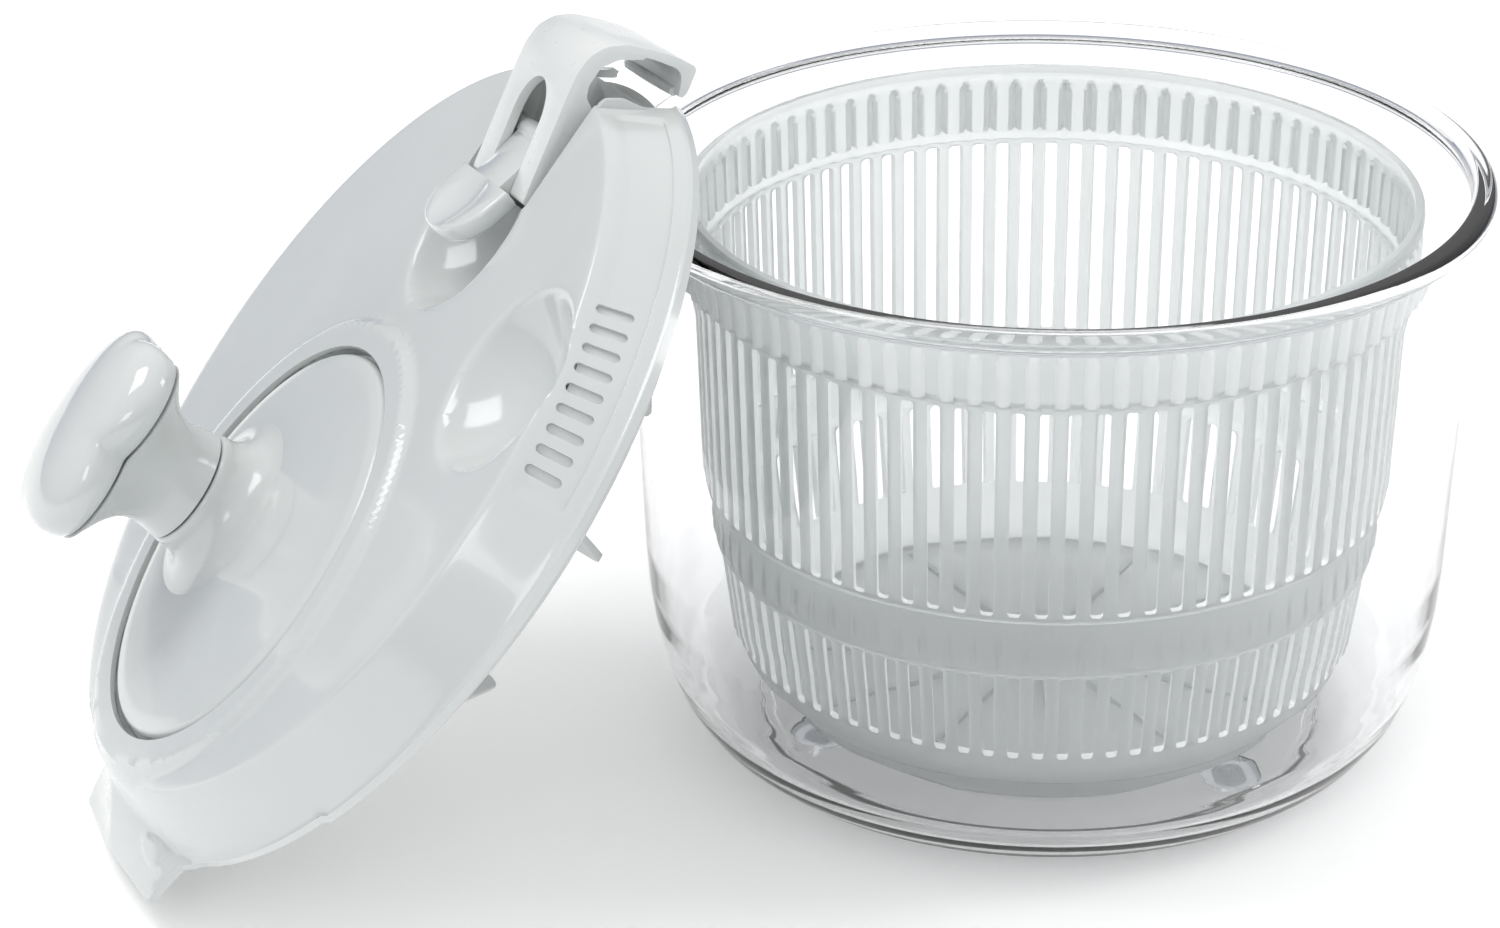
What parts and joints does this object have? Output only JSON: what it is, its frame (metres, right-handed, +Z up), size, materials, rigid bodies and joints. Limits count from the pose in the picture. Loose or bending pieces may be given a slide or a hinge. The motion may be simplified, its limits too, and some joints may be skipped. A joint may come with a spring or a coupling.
{
  "type": "salad spinner",
  "caption": "Salad spinner with a clear round bowl, a frosted slotted basket and an off-white geared crank lid with a pouring lip and a hinged clip, the lid leaning on the bowl.",
  "frame": {"origin": "on the table, at the middle of the outline of the whole group seen from above", "axes": "+Z up, bowl axis vertical; +X from the leaning lid towards the bowl, along the group's longest side; +Y to the bowl's left seen from the lid"},
  "size_m": [0.42, 0.255, 0.2247],
  "materials": {
    "clear_plastic": "crystal-clear, polished",
    "frosted_plastic": "frosted translucent",
    "white_plastic": "light grey-white, satin gloss",
    "gloss_white_plastic": "light grey-white, high gloss",
    "gear_plastic": "natural, smooth",
    "steel": "plain bright",
    "foot_rubber": "soft, translucent"
  },
  "bodies": {
    "bowl": {"bowl": "clear_plastic", "foot_1": "foot_rubber", "foot_2": "foot_rubber", "foot_3": "foot_rubber"},
    "basket": {"basket": "frosted_plastic"},
    "lid": {"lid_shell": "white_plastic", "gear_cover": "white_plastic", "cover_screw_1": "steel", "cover_screw_2": "steel", "cover_screw_3": "steel", "cover_screw_4": "steel", "clip_pin_1": "white_plastic", "clip_pin_2": "white_plastic"},
    "crank": {"crank_disc": "white_plastic", "ring_gear": "white_plastic", "crank_screw_1": "steel", "crank_screw_2": "steel", "crank_screw_3": "steel", "knob_axle": "steel"},
    "knob": {"knob_stem": "white_plastic", "knob_cap": "gloss_white_plastic"},
    "drive": {"drive_pinion": "gear_plastic", "drive_plate": "white_plastic", "drive_screw": "steel"},
    "clip": {"clip_frame": "white_plastic", "lever_pin": "steel"},
    "lever": {"thumb_lever": "gloss_white_plastic"}
  },
  "joints": [
    {"name": "basket_spin", "type": "hinge", "parent": "bowl", "child": "basket", "pos_m": [0.08498, 0, 0.02], "axis": [0, 0, 1], "continuous": true},
    {"name": "lid_tip", "type": "hinge", "parent": "bowl", "child": "lid", "pos_m": [-0.19614, 0, 0], "axis": [0, -1, 0], "range_deg": [0, 36]},
    {"name": "crank_spin", "type": "hinge", "parent": "lid", "child": "crank", "pos_m": [-0.14844, -0.00657, 0.08843], "axis": [-0.7683, 0, 0.6401], "continuous": true},
    {"name": "knob_spin", "type": "hinge", "parent": "crank", "child": "knob", "pos_m": [-0.16972, 0.02025, 0.10195], "axis": [-0.7683, 0, 0.6401], "continuous": true},
    {"name": "drive_spin", "type": "hinge", "parent": "lid", "child": "drive", "pos_m": [-0.10652, 0, 0.1075], "axis": [-0.7683, 0, 0.6401], "continuous": true},
    {"name": "clip_swing", "type": "hinge", "parent": "lid", "child": "clip", "pos_m": [-0.06533, 0.01314, 0.18116], "axis": [0.1001, -0.9877, 0.1202], "range_deg": [-12, 10]},
    {"name": "lever_press", "type": "hinge", "parent": "clip", "child": "lever", "pos_m": [-0.05963, 0.01512, 0.19268], "axis": [0.1001, -0.9877, 0.1202], "range_deg": [0, 12]}
  ],
  "couplings": [
    {"joint": "drive_spin", "follows": "crank_spin", "ratio": 4}
  ]
}
